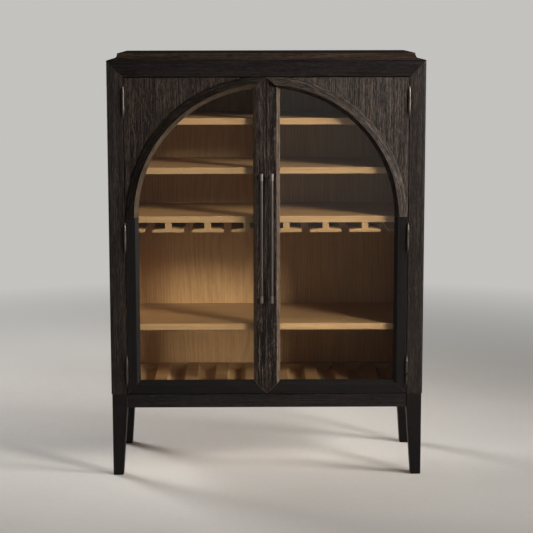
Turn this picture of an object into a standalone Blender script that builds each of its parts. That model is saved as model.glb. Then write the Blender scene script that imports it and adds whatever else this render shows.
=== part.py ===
"""Bar cabinet with two glazed doors under one arch, built piece by piece in metres, +Z up.

The origin is under the middle of the cabinet, on the floor, and the doors face -Y.
"""

import math

import bmesh
import bpy
from mathutils import Matrix, Vector

# Case
CASE_WIDTH = 1.220
CASE_DEPTH = 0.508
CASE_HEIGHT = 1.301
FRAME_FACE = 0.062
LINING_THICK = 0.012
OUTER_EASE = 0.008
BACK_THICK = 0.015
BACK_REBATE = 0.010

# Coved cap on top of the case
CAP_INSET = 0.018
CAP_LIP = 0.002
CAP_COVE = 0.021
CAP_FILLET = 0.003

# Base
BASE_HEIGHT = 0.327
LEG_INSET = 0.003
LEG_FOOT = 0.040
LEG_EASE = 0.003
APRON_THICK = 0.018
APRON_SETBACK = 0.003
LEDGE_WIDTH = 0.014
LEDGE_HEIGHT = 0.0174
BOTTOM_THICK = 0.018

# Interior
SHELF_THICK = 0.025
SHELF_DADO = 0.006
SHELF_CLEAR = 0.012
TOP_BAY = 0.160
UPPER_BAY = 0.165
BOTTLE_BAY = 0.230
RAIL_PAIRS = 3
RAIL_STEM = 0.025
RAIL_DROP = 0.038
RAIL_ROOT = 0.016
RAIL_EDGE = 0.010
STEM_SLOT = 0.031
SCOOP_WIDTH = 0.072
SCOOP_LAND = 0.049
SCOOP_DEPTH = 0.026
CRADLE_FLOOR = 0.012
CRADLE_RISE = 0.020
CRADLE_END = 0.030

# Doors
DOOR_THICK = 0.026
DOOR_GAP = 0.0035
HINGE_GAP = 0.003
MEETING_GAP = 0.003
FRAME_FLAT = 0.037
FRAME_BEVEL = 0.013
BEVEL_DEPTH = 0.010
LIP_EDGE = 0.003
GLASS_REBATE = 0.008
GLASS_THICK = 0.004
GLASS_PLAY = 0.001
SPANDREL_TIP = 0.003
CROWN_CLIP = 0.0065
ARCH_PROUD_INNER = 0.014
ARCH_PROUD_OUTER = 0.004
ARCH_EASE = 0.002

# Hinges
HINGE_HEIGHT = 0.080
HINGE_TIP = 0.019
HINGE_MARGIN = 0.033
HINGE_MIDDLE_DROP = 0.082
PIN_RADIUS = 0.0023
KNUCKLE_WALL = 0.0016
KNUCKLE_COUNT = 5
LEAF_WIDTH = 0.022
RUNNING_GAP = 0.0004

# Handles
HANDLE_LENGTH = 0.503
HANDLE_RADIUS = 0.0058
COLLAR_STEP = 0.0008
COLLAR_LENGTH = 0.027
POST_RADIUS = 0.0048
HANDLE_STANDOFF = 0.030

# Catches
CATCH_WIDTH = 0.044
CATCH_HEIGHT = 0.013
CATCH_DEPTH = 0.024
CATCH_PLACE = 0.010
CATCH_GAP = 0.0008

# Fits and facets
JOINT_GAP = 0.0003
EDGE_EASE = 0.0010
ARC_STEP = math.radians(2.5)
BAR_STEPS = 20
HINGE_STEPS = 12
EASE_STEPS = 4
COVE_STEPS = 6
SCOOP_STEPS = 10

# Places worked out from the driving dimensions
HALF_WIDTH = CASE_WIDTH / 2
OPENING_HALF = HALF_WIDTH - FRAME_FACE
CASE_TOP = BASE_HEIGHT + CASE_HEIGHT
INNER_TOP = CASE_TOP - FRAME_FACE
BOARD_THICK = FRAME_FACE - LINING_THICK
STILE_DEPTH = DOOR_THICK + SHELF_CLEAR
COLLAR_RADIUS = HANDLE_RADIUS + COLLAR_STEP
HANDLE_REACH = HANDLE_STANDOFF + COLLAR_RADIUS
FRONT = (HANDLE_REACH - CASE_DEPTH) / 2
BACK = FRONT + CASE_DEPTH
LEG_TOP = FRAME_FACE - LEG_INSET
LEG_OUTER_X = HALF_WIDTH - LEG_INSET
APRON_INNER = LEG_INSET + APRON_SETBACK + APRON_THICK
REAR_WALL = BACK - APRON_INNER
SHELF_FRONT = FRONT + STILE_DEPTH + JOINT_GAP
FLOOR_TOP = BASE_HEIGHT + CRADLE_RISE
CRADLE_BOTTOM = FLOOR_TOP - SCOOP_DEPTH - CRADLE_FLOOR
BOTTOM_TOP = CRADLE_BOTTOM - JOINT_GAP
LEDGE_TOP = BOTTOM_TOP - BOTTOM_THICK - JOINT_GAP
APRON_BOTTOM = LEDGE_TOP - LEDGE_HEIGHT
SCOOP_COUNT = int(2 * OPENING_HALF / (SCOOP_WIDTH + SCOOP_LAND))
SCOOP_PITCH = 2 * OPENING_HALF / SCOOP_COUNT
RAIL_PITCH = (2 * OPENING_HALF - RAIL_STEM) / (2 * RAIL_PAIRS + 1)
RAIL_HALF = (RAIL_PITCH - STEM_SLOT) / 2
DOOR_EDGE = OPENING_HALF - HINGE_GAP
DOOR_MEET = MEETING_GAP / 2
DOOR_BOTTOM = BASE_HEIGHT + DOOR_GAP
DOOR_TOP = INNER_TOP - DOOR_GAP
FRAME_WIDTH = FRAME_FLAT + FRAME_BEVEL
LIP_DEPTH = BEVEL_DEPTH + LIP_EDGE
SIGHT_RADIUS = DOOR_EDGE - FRAME_WIDTH
SIGHT_BOTTOM = DOOR_BOTTOM + FRAME_WIDTH
SIGHT_MEET = DOOR_MEET + FRAME_WIDTH
ARCH_OUTER = DOOR_EDGE - SPANDREL_TIP
SPRING = DOOR_TOP + CROWN_CLIP - ARCH_OUTER
CROWN_CORNER = SPRING + math.sqrt(SIGHT_RADIUS**2 - SIGHT_MEET**2)
GLASS_FRONT = FRONT + LIP_DEPTH + JOINT_GAP
GLASS_BACK = GLASS_FRONT + GLASS_THICK
KNUCKLE_BORE = PIN_RADIUS + RUNNING_GAP
KNUCKLE_RADIUS = KNUCKLE_BORE + KNUCKLE_WALL
LEAF_THICK = (HINGE_GAP - RUNNING_GAP) / 2 - JOINT_GAP
HINGE_END = HINGE_MARGIN + HINGE_TIP + HINGE_HEIGHT / 2
AXIS_X = OPENING_HALF - HINGE_GAP / 2
AXIS_Y = FRONT - KNUCKLE_RADIUS - JOINT_GAP

# Turns of a section drawn flat in XY, so that its length lies along Y or X
ALONG_Y = Matrix.Rotation(math.radians(90), 4, "X")
ALONG_X = Matrix(((0, 0, 1, 0), (1, 0, 0, 0), (0, 1, 0, 0), (0, 0, 0, 1)))


def new_collection(name):
    """An empty collection in the scene."""
    collection = bpy.data.collections.new(name)
    bpy.context.scene.collection.children.link(collection)
    return collection


def new_material(name, colour, roughness, metallic=0.0, alpha=1.0):
    """A Principled material of one colour."""
    material = bpy.data.materials.new(name)
    material.use_nodes = True
    shader = material.node_tree.nodes["Principled BSDF"]
    shader.inputs["Base Color"].default_value = (*colour, 1.0)
    shader.inputs["Roughness"].default_value = roughness
    shader.inputs["Metallic"].default_value = metallic
    shader.inputs["Alpha"].default_value = alpha
    return material


def arc(centre, radius, start, end, steps):
    """Points on an arc, with its angles in degrees."""
    angles = [math.radians(start + (end - start) * i / steps) for i in range(steps + 1)]
    return [(centre[0] + radius * math.cos(a), centre[1] + radius * math.sin(a)) for a in angles]


def tidy(mesh, flatten=True):
    """Welds a mesh, joins its flat faces if asked and points its normals out."""
    bm = bmesh.new()
    bm.from_mesh(mesh)
    bmesh.ops.remove_doubles(bm, verts=bm.verts, dist=1e-6)
    if flatten:
        bmesh.ops.dissolve_limit(bm, angle_limit=1e-3, verts=bm.verts, edges=bm.edges)
    bmesh.ops.recalc_face_normals(bm, faces=bm.faces)
    bm.to_mesh(mesh)
    bm.free()
    return mesh


def prism(outline, start, end, turn=None, hole=None):
    """A closed prism on a flat outline, from start to end along the axis that turn gives it."""
    curve = bpy.data.curves.new("outline", "CURVE")
    curve.dimensions = "2D"
    curve.fill_mode = "BOTH"
    curve.extrude = (end - start) / 2
    for loop in filter(None, (outline, hole)):
        spline = curve.splines.new("POLY")
        spline.points.add(len(loop) - 1)
        for point, (x, y) in zip(spline.points, loop):
            point.co = (x, y, 0, 1)
        spline.use_cyclic_u = True
    holder = bpy.data.objects.new("outline", curve)
    bpy.context.scene.collection.objects.link(holder)
    depsgraph = bpy.context.evaluated_depsgraph_get()
    mesh = bpy.data.meshes.new_from_object(holder.evaluated_get(depsgraph))
    bpy.data.objects.remove(holder)
    mesh.transform(Matrix.Translation((0, 0, (start + end) / 2)))
    if turn:
        mesh.transform(turn)
    return tidy(mesh, flatten=hole is None)


def prism_along_y(outline, start, end, hole=None):
    """A prism on an outline in XZ, from start to end along Y."""
    return prism(outline, -end, -start, ALONG_Y, hole)


def prism_along_x(outline, start, end):
    """A prism on an outline in YZ, from start to end along X."""
    return prism(outline, start, end, ALONG_X)


def box(low, high):
    """A closed box between two corners."""
    low, high = Vector(low), Vector(high)
    bm = bmesh.new()
    bmesh.ops.create_cube(bm, size=1.0)
    size = high - low
    bmesh.ops.scale(bm, vec=[abs(s) for s in size], verts=bm.verts)
    bmesh.ops.translate(bm, vec=(low + high) / 2, verts=bm.verts)
    mesh = bpy.data.meshes.new("box")
    bm.to_mesh(mesh)
    bm.free()
    return mesh


def stacked(levels):
    """A solid through a stack of rectangles, each (x, x, y, y, height), from the lowest up."""
    bm = bmesh.new()
    bmesh.ops.create_cube(bm, size=1.0)
    corners = [(v, v.co.x > 0, v.co.y > 0, v.co.z > 0) for v in bm.verts]
    for vertex, far_x, far_y, upper in corners:
        level = levels[upper]
        vertex.co = (level[far_x], level[2 + far_y], level[4])
    for below, level in zip(levels[1:], levels[2:]):
        top = max(bm.faces, key=lambda face: face.calc_center_median().z)
        grown = bmesh.ops.extrude_face_region(bm, geom=[top])
        if top.is_valid:
            bmesh.ops.delete(bm, geom=[top], context="FACES_ONLY")
        for vertex in (item for item in grown["geom"] if isinstance(item, bmesh.types.BMVert)):
            far_x = vertex.co.x > (below[0] + below[1]) / 2
            far_y = vertex.co.y > (below[2] + below[3]) / 2
            vertex.co = (level[far_x], level[2 + far_y], level[4])
    mesh = bpy.data.meshes.new("stack")
    bm.to_mesh(mesh)
    bm.free()
    return tidy(mesh, flatten=False)


def turned(profile, steps, closed=False):
    """A solid turned about Z from a profile of (radius, height) points, with its modifier applied."""
    mesh = bpy.data.meshes.new("profile")
    edges = [(i, i + 1) for i in range(len(profile) - 1)]
    if closed:
        edges.append((len(profile) - 1, 0))
    mesh.from_pydata([(r, 0, z) for r, z in profile], edges, [])
    holder = bpy.data.objects.new("profile", mesh)
    bpy.context.scene.collection.objects.link(holder)
    screw = holder.modifiers.new("Turn", "SCREW")
    screw.steps = steps
    screw.render_steps = steps
    screw.use_merge_vertices = True
    screw.merge_threshold = 1e-5
    depsgraph = bpy.context.evaluated_depsgraph_get()
    result = bpy.data.meshes.new_from_object(holder.evaluated_get(depsgraph))
    bpy.data.objects.remove(holder)
    return tidy(result, flatten=False)


def move_ends(mesh, axis, low_end, high_end):
    """Cuts a prism's two ends to a slope: each function gives its end's place at a point."""
    middle = sum(vertex.co[axis] for vertex in mesh.vertices) / len(mesh.vertices)
    for vertex in mesh.vertices:
        place = low_end if vertex.co[axis] < middle else high_end
        vertex.co[axis] = place(vertex.co)
    return mesh


class Cabinet:
    """The collections and materials that the pieces go into."""

    def __init__(self):
        self.parts = new_collection("bar_cabinet")
        self.cutters = new_collection("bar_cabinet_cutters")
        self.dark_oak = new_material("dark_oak", (0.030, 0.024, 0.021), 0.62)
        self.natural_oak = new_material("natural_oak", (0.440, 0.270, 0.135), 0.55)
        self.gunmetal = new_material("gunmetal", (0.090, 0.082, 0.075), 0.38, metallic=0.9)
        self.glass = new_material("glass", (0.900, 0.920, 0.920), 0.03, alpha=0.2)
        self.catch_body = new_material("catch_body", (0.050, 0.048, 0.046), 0.5)

    def add(self, name, mesh, material, parent=None, ease=EDGE_EASE, smooth=False):
        """A named piece, with its edges eased by a bevel unless ease is zero."""
        mesh.name = name
        mesh.materials.clear()
        mesh.materials.append(material)
        piece = bpy.data.objects.new(name, mesh)
        self.parts.objects.link(piece)
        if parent:
            piece.parent = parent
            piece.matrix_parent_inverse = Matrix.Translation(-parent.location)
        if smooth:
            mesh.shade_smooth()
            mesh.set_sharp_from_angle(angle=math.radians(35))
        if ease:
            bevel = piece.modifiers.new("Eased edges", "BEVEL")
            bevel.width = ease
            bevel.segments = 2
            bevel.limit_method = "ANGLE"
            bevel.angle_limit = math.radians(40)
        return piece

    def combine(self, piece, mesh, operation):
        """Cuts or joins a piece with a helper solid that isn't part of the cabinet."""
        helper = bpy.data.objects.new(f"{piece.name}_helper", mesh)
        helper.hide_render = True
        helper.display_type = "WIRE"
        self.cutters.objects.link(helper)
        boolean = piece.modifiers.new(operation.title(), "BOOLEAN")
        boolean.operation = operation
        boolean.solver = "EXACT"
        boolean.object = helper

    def joint(self, name, location):
        """An empty on a joint's axis, to carry the pieces that turn on it."""
        empty = bpy.data.objects.new(name, None)
        empty.location = location
        empty.empty_display_size = 0.05
        self.parts.objects.link(empty)
        return empty


def side_name(side):
    return "right" if side > 0 else "left"


# Base: four tapered legs with aprons between them


def leg_mesh(side, rear):
    """A leg, square at the top and tapered on its two inner faces below the apron."""
    outer_x = side * LEG_OUTER_X
    outer_y = BACK - LEG_INSET if rear else FRONT + LEG_INSET
    inward_y = -1 if rear else 1

    def level(width, height):
        across = sorted((outer_x, outer_x - side * width))
        along = sorted((outer_y, outer_y + inward_y * width))
        return (*across, *along, height)

    top = BASE_HEIGHT - JOINT_GAP
    return stacked([level(LEG_FOOT, 0), level(LEG_TOP, APRON_BOTTOM), level(LEG_TOP, top)])


def long_apron_mesh(rear):
    """A front or rear apron with a ledge inside that carries the bottom panel."""
    outer = LEG_INSET + APRON_SETBACK
    top = BASE_HEIGHT - JOINT_GAP
    section = [
        (outer, APRON_BOTTOM),
        (APRON_INNER + LEDGE_WIDTH, APRON_BOTTOM),
        (APRON_INNER + LEDGE_WIDTH, LEDGE_TOP),
        (APRON_INNER, LEDGE_TOP),
        (APRON_INNER, top),
        (outer, top),
    ]
    placed = [(BACK - v if rear else FRONT + v, z) for v, z in section]
    half = OPENING_HALF - JOINT_GAP
    return prism_along_x(placed, -half, half)


def short_apron_mesh(side):
    """An apron between a front and a rear leg."""
    outer = LEG_OUTER_X - APRON_SETBACK
    clear = LEG_INSET + LEG_TOP + JOINT_GAP
    return box(
        (side * outer, FRONT + clear, APRON_BOTTOM),
        (side * (outer - APRON_THICK), BACK - clear, BASE_HEIGHT - JOINT_GAP),
    )


def make_base(cabinet):
    for side in (-1, 1):
        for rear in (False, True):
            name = f"leg_{'rear' if rear else 'front'}_{side_name(side)}"
            cabinet.add(name, leg_mesh(side, rear), cabinet.dark_oak, ease=LEG_EASE)
        cabinet.add(f"apron_{side_name(side)}", short_apron_mesh(side), cabinet.dark_oak)
    cabinet.add("apron_front", long_apron_mesh(False), cabinet.dark_oak)
    cabinet.add("apron_rear", long_apron_mesh(True), cabinet.dark_oak)


# Case: two sides and a top of one section, mitred, lined with natural oak


def case_section():
    """A case board seen from its end, as (inward from the outer face, back from the front)."""
    rebate = REAR_WALL - FRONT
    return [
        *arc((OUTER_EASE, OUTER_EASE), OUTER_EASE, 180, 270, EASE_STEPS),
        (FRAME_FACE, 0),
        (FRAME_FACE, STILE_DEPTH),
        (BOARD_THICK, STILE_DEPTH),
        (BOARD_THICK, rebate),
        (BOARD_THICK - BACK_REBATE, rebate),
        (BOARD_THICK - BACK_REBATE, CASE_DEPTH),
        (0, CASE_DEPTH),
    ]


def side_mesh(side):
    section = [(side * (HALF_WIDTH - u), FRONT + v) for u, v in case_section()]
    mitre_gap = JOINT_GAP * math.sqrt(2)

    def foot(point):
        return BASE_HEIGHT

    def mitre(point):
        return CASE_TOP - (HALF_WIDTH - abs(point.x)) - mitre_gap

    return move_ends(prism(section, BASE_HEIGHT, CASE_TOP), 2, foot, mitre)


def top_mesh():
    section = [(FRONT + v, CASE_TOP - u) for u, v in case_section()]

    def mitre_left(point):
        return CASE_TOP - point.z - HALF_WIDTH

    def mitre_right(point):
        return point.z - CASE_TOP + HALF_WIDTH

    return move_ends(prism_along_x(section, -HALF_WIDTH, HALF_WIDTH), 0, mitre_left, mitre_right)


def cap_mesh():
    """A board whose front and ends rise in a cove to a thin square edge."""
    half = HALF_WIDTH - CAP_INSET
    front = FRONT + CAP_INSET
    bottom = CASE_TOP + JOINT_GAP
    cove = arc((0, CAP_LIP + CAP_COVE), CAP_COVE, -90, 0, COVE_STEPS)
    rise = [(0, 0), *cove, (CAP_COVE, CAP_LIP + CAP_COVE + CAP_FILLET)]
    return stacked([(inset - half, half - inset, front + inset, BACK, bottom + z) for inset, z in rise])


def lining_mesh(side, shelf_tops):
    """A side lining with a groove for the end of each shelf."""
    inner = OPENING_HALF
    outer = HALF_WIDTH - BOARD_THICK - JOINT_GAP
    groove = inner + SHELF_DADO
    section = [(outer, BASE_HEIGHT + JOINT_GAP), (inner, BASE_HEIGHT + JOINT_GAP)]
    for top in sorted(shelf_tops):
        low = top - SHELF_THICK - JOINT_GAP
        high = top + JOINT_GAP
        section += [(inner, low), (groove, low), (groove, high), (inner, high)]
    section += [(inner, INNER_TOP - JOINT_GAP), (outer, INNER_TOP - JOINT_GAP)]
    placed = [(side * x, z) for x, z in section]
    return prism_along_y(placed, SHELF_FRONT, REAR_WALL)


def make_case(cabinet, shelf_tops):
    inner_board = HALF_WIDTH - BOARD_THICK - JOINT_GAP
    for side in (-1, 1):
        name = side_name(side)
        cabinet.add(f"side_{name}", side_mesh(side), cabinet.dark_oak)
        cabinet.add(f"lining_{name}", lining_mesh(side, shelf_tops), cabinet.natural_oak, ease=0)
    cabinet.add("top_panel", top_mesh(), cabinet.dark_oak)
    cabinet.add("top_cap", cap_mesh(), cabinet.dark_oak)
    lining_top = box(
        (-inner_board, SHELF_FRONT, INNER_TOP),
        (inner_board, REAR_WALL, CASE_TOP - BOARD_THICK - JOINT_GAP),
    )
    cabinet.add("lining_top", lining_top, cabinet.natural_oak, ease=0)
    back_reach = BOARD_THICK - BACK_REBATE + JOINT_GAP
    back_front = REAR_WALL + JOINT_GAP
    back = box(
        (back_reach - HALF_WIDTH, back_front, BASE_HEIGHT + JOINT_GAP),
        (HALF_WIDTH - back_reach, back_front + BACK_THICK, CASE_TOP - back_reach),
    )
    cabinet.add("back_panel", back, cabinet.natural_oak, ease=0)
    half = OPENING_HALF - JOINT_GAP
    bottom = box(
        (-half, FRONT + APRON_INNER + JOINT_GAP, BOTTOM_TOP - BOTTOM_THICK),
        (half, REAR_WALL - JOINT_GAP, BOTTOM_TOP),
    )
    cabinet.add("bottom_panel", bottom, cabinet.natural_oak)


# Interior: shelves, stemware runners and the bottle cradle


def shelf_heights():
    """The top face of each shelf, from the highest down."""
    first = INNER_TOP - TOP_BAY
    step = UPPER_BAY + SHELF_THICK
    lowest = FLOOR_TOP + BOTTLE_BAY + SHELF_THICK
    return [first, first - step, first - 2 * step, lowest]


def shelf_mesh(top):
    half = OPENING_HALF + SHELF_DADO - JOINT_GAP
    low = (-half, SHELF_FRONT, top - SHELF_THICK)
    return box(low, (half, REAR_WALL, top))


def runner_section(centre, top):
    """A T runner: a stem under the shelf with a flange that thins towards its edges."""
    bottom = top - RAIL_DROP
    half = [
        (RAIL_STEM / 2, top),
        (RAIL_STEM / 2, bottom + RAIL_ROOT),
        (RAIL_HALF, bottom + RAIL_EDGE),
        (RAIL_HALF, bottom),
    ]
    mirrored = [(-x, z) for x, z in reversed(half)]
    return [(centre + x, z) for x, z in half + mirrored]


def end_runner_section(side, top):
    """The runner against a wall, with a flange on its inner side only."""
    bottom = top - RAIL_DROP
    wall = OPENING_HALF - JOINT_GAP
    stem = OPENING_HALF - RAIL_STEM
    tip = OPENING_HALF - RAIL_STEM / 2 - RAIL_HALF
    section = [
        (wall, top),
        (wall, bottom),
        (tip, bottom),
        (tip, bottom + RAIL_EDGE),
        (stem, bottom + RAIL_ROOT),
        (stem, top),
    ]
    return [(side * x, z) for x, z in section]


def scoop_arcs():
    """The round of each scoop from left to right, seen from the front."""
    radius = (SCOOP_WIDTH**2 / 4 + SCOOP_DEPTH**2) / (2 * SCOOP_DEPTH)
    reach = math.degrees(math.asin(SCOOP_WIDTH / 2 / radius))
    height = FLOOR_TOP - SCOOP_DEPTH + radius
    centres = [SCOOP_PITCH * (i - (SCOOP_COUNT - 1) / 2) for i in range(SCOOP_COUNT)]
    return [arc((x, height), radius, 270 - reach, 270 + reach, SCOOP_STEPS) for x in centres]


def cradle_mesh():
    """A board with a round scoop under each bottle, open at the front and stopped short of the back."""
    half = OPENING_HALF - JOINT_GAP
    rear = REAR_WALL - JOINT_GAP
    corners = [(half, FLOOR_TOP), (half, CRADLE_BOTTOM), (-half, CRADLE_BOTTOM), (-half, FLOOR_TOP)]
    bm = bmesh.new()

    def ring(points, y):
        return [bm.verts.new((x, y, z)) for x, z in points]

    board = ring(corners, SHELF_FRONT)
    ends = ring(corners, rear)
    front_edge = [board[-1]]
    top = [board[-1]]
    for curve in scoop_arcs():
        mouth = ring(curve, SHELF_FRONT)
        stop = ring(curve, rear - CRADLE_END)
        for i in range(SCOOP_STEPS):
            bm.faces.new((mouth[i], mouth[i + 1], stop[i + 1], stop[i]))
        bm.faces.new(stop)
        front_edge += mouth
        top += [mouth[0], stop[0], stop[-1], mouth[-1]]
    bm.faces.new([*front_edge, *board[:-1]])
    bm.faces.new([*top, board[0], ends[0], ends[-1]])
    bm.faces.new(ends)
    for i in range(len(corners) - 1):
        bm.faces.new((board[i], board[i + 1], ends[i + 1], ends[i]))
    mesh = bpy.data.meshes.new("cradle")
    bm.to_mesh(mesh)
    bm.free()
    return tidy(mesh)


def make_interior(cabinet, shelf_tops):
    oak = cabinet.natural_oak
    for name, top in zip(("top", "upper", "stemware", "lower"), shelf_tops):
        cabinet.add(f"shelf_{name}", shelf_mesh(top), oak)
    rack_top = shelf_tops[2] - SHELF_THICK - JOINT_GAP
    rear = REAR_WALL - JOINT_GAP
    for i in range(2 * RAIL_PAIRS):
        centre = RAIL_PITCH * (i - RAIL_PAIRS + 0.5)
        mesh = prism_along_y(runner_section(centre, rack_top), SHELF_FRONT, rear)
        cabinet.add(f"stemware_rail_{i + 1}", mesh, oak)
    for side in (-1, 1):
        mesh = prism_along_y(end_runner_section(side, rack_top), SHELF_FRONT, rear)
        cabinet.add(f"stemware_end_rail_{side_name(side)}", mesh, oak)
    cabinet.add("bottle_cradle", cradle_mesh(), oak, ease=0)


# Doors: mitred frame members of one section, an arch turned from its own section, and a pane


def frame_section():
    """A frame member seen from its end, as (inward from the door's edge, back from its face)."""
    rebate = FRAME_WIDTH - GLASS_REBATE
    return [
        (0, 0),
        (FRAME_FLAT, 0),
        (FRAME_WIDTH, BEVEL_DEPTH),
        (FRAME_WIDTH, LIP_DEPTH),
        (rebate, LIP_DEPTH),
        (rebate, DOOR_THICK),
        (0, DOOR_THICK),
    ]


def crown_mitre(x):
    """Height of the mitre between the meeting stile and the arch, at a distance from the middle."""
    slope = (CROWN_CORNER - DOOR_TOP) / FRAME_WIDTH
    return DOOR_TOP + slope * (x - DOOR_MEET)


def hinge_stile_mesh(side):
    section = [(side * (DOOR_EDGE - u), FRONT + v) for u, v in frame_section()]

    def foot_mitre(point):
        return DOOR_BOTTOM + DOOR_EDGE - abs(point.x) + JOINT_GAP

    def spring(point):
        return SPRING - JOINT_GAP

    return move_ends(prism(section, DOOR_BOTTOM, SPRING), 2, foot_mitre, spring)


def meeting_stile_mesh(side):
    section = [(side * (DOOR_MEET + u), FRONT + v) for u, v in frame_section()]

    def foot_mitre(point):
        return DOOR_BOTTOM + abs(point.x) - DOOR_MEET + JOINT_GAP

    def head_mitre(point):
        return crown_mitre(abs(point.x)) - JOINT_GAP

    return move_ends(prism(section, DOOR_BOTTOM, DOOR_TOP), 2, foot_mitre, head_mitre)


def bottom_rail_mesh(side):
    section = [(FRONT + v, DOOR_BOTTOM + u) for u, v in frame_section()]

    def meeting_mitre(point):
        return side * (DOOR_MEET + point.z - DOOR_BOTTOM + JOINT_GAP)

    def hinge_mitre(point):
        return side * (DOOR_EDGE + DOOR_BOTTOM - point.z - JOINT_GAP)

    ends = (meeting_mitre, hinge_mitre)[::side]
    span = sorted((side * DOOR_MEET, side * DOOR_EDGE))
    return move_ends(prism_along_x(section, *span), 0, *ends)


def arch_mesh():
    """A whole ring of the arch's section, with its face sloping outwards, turned about the arch's axis."""
    flat = SIGHT_RADIUS + FRAME_BEVEL
    rebate = SIGHT_RADIUS + GLASS_REBATE
    profile = [
        (SIGHT_RADIUS, BEVEL_DEPTH),
        (SIGHT_RADIUS, LIP_DEPTH),
        (rebate, LIP_DEPTH),
        (rebate, DOOR_THICK),
        (ARCH_OUTER, DOOR_THICK),
        (ARCH_OUTER, ARCH_EASE - ARCH_PROUD_OUTER),
        (ARCH_OUTER - ARCH_EASE, -ARCH_PROUD_OUTER),
        (flat + ARCH_EASE, -ARCH_PROUD_INNER),
        (flat, ARCH_EASE - ARCH_PROUD_INNER),
    ]
    steps = round(math.tau / ARC_STEP)
    mesh = turned([(r, -depth) for r, depth in profile], steps, closed=True)
    mesh.transform(ALONG_Y)
    mesh.transform(Matrix.Translation((0, FRONT, SPRING)))
    return mesh


def arch_sector_mesh(side):
    """The part of the ring that one door keeps: above the spring, below its top, past the mitre."""
    past_edge = DOOR_EDGE + FRAME_WIDTH
    low = SPRING + JOINT_GAP
    inner = SIGHT_MEET + FRAME_WIDTH
    sector = [
        (past_edge, low),
        (past_edge, DOOR_TOP),
        (DOOR_MEET + JOINT_GAP, DOOR_TOP),
        (inner + JOINT_GAP, crown_mitre(inner)),
        (inner, low),
    ]
    placed = [(side * x, z) for x, z in sector]
    return prism_along_y(placed, FRONT - DOOR_THICK, FRONT + 2 * DOOR_THICK)


def spandrel_mesh(side):
    """The corner panel between the arch, the top of the door and its hinge edge."""
    radius = ARCH_OUTER + JOINT_GAP
    blunt = DOOR_TOP - SPANDREL_TIP
    foot = SPRING + JOINT_GAP
    start = math.degrees(math.asin((foot - SPRING) / radius))
    end = math.degrees(math.asin((blunt - SPRING) / radius))
    steps = round(math.radians(end - start) / ARC_STEP)
    curve = arc((0, SPRING), radius, end, start, steps)
    section = [(DOOR_EDGE, foot), (DOOR_EDGE, DOOR_TOP), (curve[0][0], DOOR_TOP), *curve]
    placed = [(side * x, z) for x, z in section]
    return prism_along_y(placed, FRONT, FRONT + DOOR_THICK)


def pane_outline(side, grow):
    """The sight opening of one door, grown on every edge."""
    radius = SIGHT_RADIUS + grow
    meet = SIGHT_MEET - grow
    end = math.degrees(math.acos(meet / radius))
    steps = round(math.radians(end) / ARC_STEP)
    curve = arc((0, SPRING), radius, 0, end, steps)
    outline = [(meet, SIGHT_BOTTOM - grow), (radius, SIGHT_BOTTOM - grow), *curve]
    return [(side * x, z) for x, z in outline]


def handle_mesh():
    """The bar with its two end collars, turned about its own length."""
    half = HANDLE_LENGTH / 2
    ease = COLLAR_RADIUS - HANDLE_RADIUS
    upper = [
        (0, half),
        (COLLAR_RADIUS - ease, half),
        (COLLAR_RADIUS, half - ease),
        (COLLAR_RADIUS, half - COLLAR_LENGTH),
        (HANDLE_RADIUS, half - COLLAR_LENGTH - ease),
    ]
    return turned(upper + [(r, -z) for r, z in reversed(upper)], BAR_STEPS)


def handle_posts_mesh(grip):
    """The two posts that carry a handle, from the door's face into the bar."""
    length = HANDLE_STANDOFF - JOINT_GAP
    bm = bmesh.new()
    for end in (-1, 1):
        z = grip.z + end * (HANDLE_LENGTH - COLLAR_LENGTH) / 2
        bmesh.ops.create_cone(
            bm,
            cap_ends=True,
            segments=BAR_STEPS,
            radius1=POST_RADIUS,
            radius2=POST_RADIUS,
            depth=length,
            matrix=Matrix.Translation((grip.x, grip.y + length / 2, z)) @ ALONG_Y,
        )
    mesh = bpy.data.meshes.new("posts")
    bm.to_mesh(mesh)
    bm.free()
    return mesh


def make_door(cabinet, side):
    name = side_name(side)
    axis = cabinet.joint(f"{name}_door_axis", (side * AXIS_X, AXIS_Y, DOOR_BOTTOM))
    oak = cabinet.dark_oak
    cabinet.add(f"{name}_hinge_stile", hinge_stile_mesh(side), oak, axis)
    cabinet.add(f"{name}_meeting_stile", meeting_stile_mesh(side), oak, axis)
    cabinet.add(f"{name}_bottom_rail", bottom_rail_mesh(side), oak, axis)
    arch = cabinet.add(f"{name}_arch", arch_mesh(), oak, axis, ease=0, smooth=True)
    cabinet.combine(arch, arch_sector_mesh(side), "INTERSECT")
    cabinet.add(f"{name}_spandrel", spandrel_mesh(side), oak, axis)
    seated = GLASS_REBATE - GLASS_PLAY
    pane = prism_along_y(pane_outline(side, seated), GLASS_FRONT, GLASS_BACK)
    cabinet.add(f"{name}_glass", pane, cabinet.glass, axis, ease=0)
    bead = prism_along_y(
        pane_outline(side, GLASS_REBATE - JOINT_GAP),
        GLASS_BACK + JOINT_GAP,
        FRONT + DOOR_THICK,
        hole=pane_outline(side, 0),
    )
    cabinet.add(f"{name}_glass_stop", bead, oak, axis, ease=0)
    grip = Vector((side * (DOOR_MEET + FRAME_FLAT / 2), FRONT - HANDLE_STANDOFF, 0))
    grip.z = (DOOR_BOTTOM + DOOR_TOP) / 2
    bar = handle_mesh()
    bar.transform(Matrix.Translation(grip))
    handle = cabinet.add(f"{name}_handle", bar, cabinet.gunmetal, axis, ease=0, smooth=True)
    cabinet.combine(handle, handle_posts_mesh(grip), "UNION")
    return axis


# Hinges: a case leaf with the pin, and a door leaf whose knuckles turn on it


def knuckle_span(index):
    """The lowest and highest place of a knuckle, from the middle of its hinge."""
    length = HINGE_HEIGHT / KNUCKLE_COUNT
    low = index * length - HINGE_HEIGHT / 2
    return low + RUNNING_GAP / 2, low + length - RUNNING_GAP / 2


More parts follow.
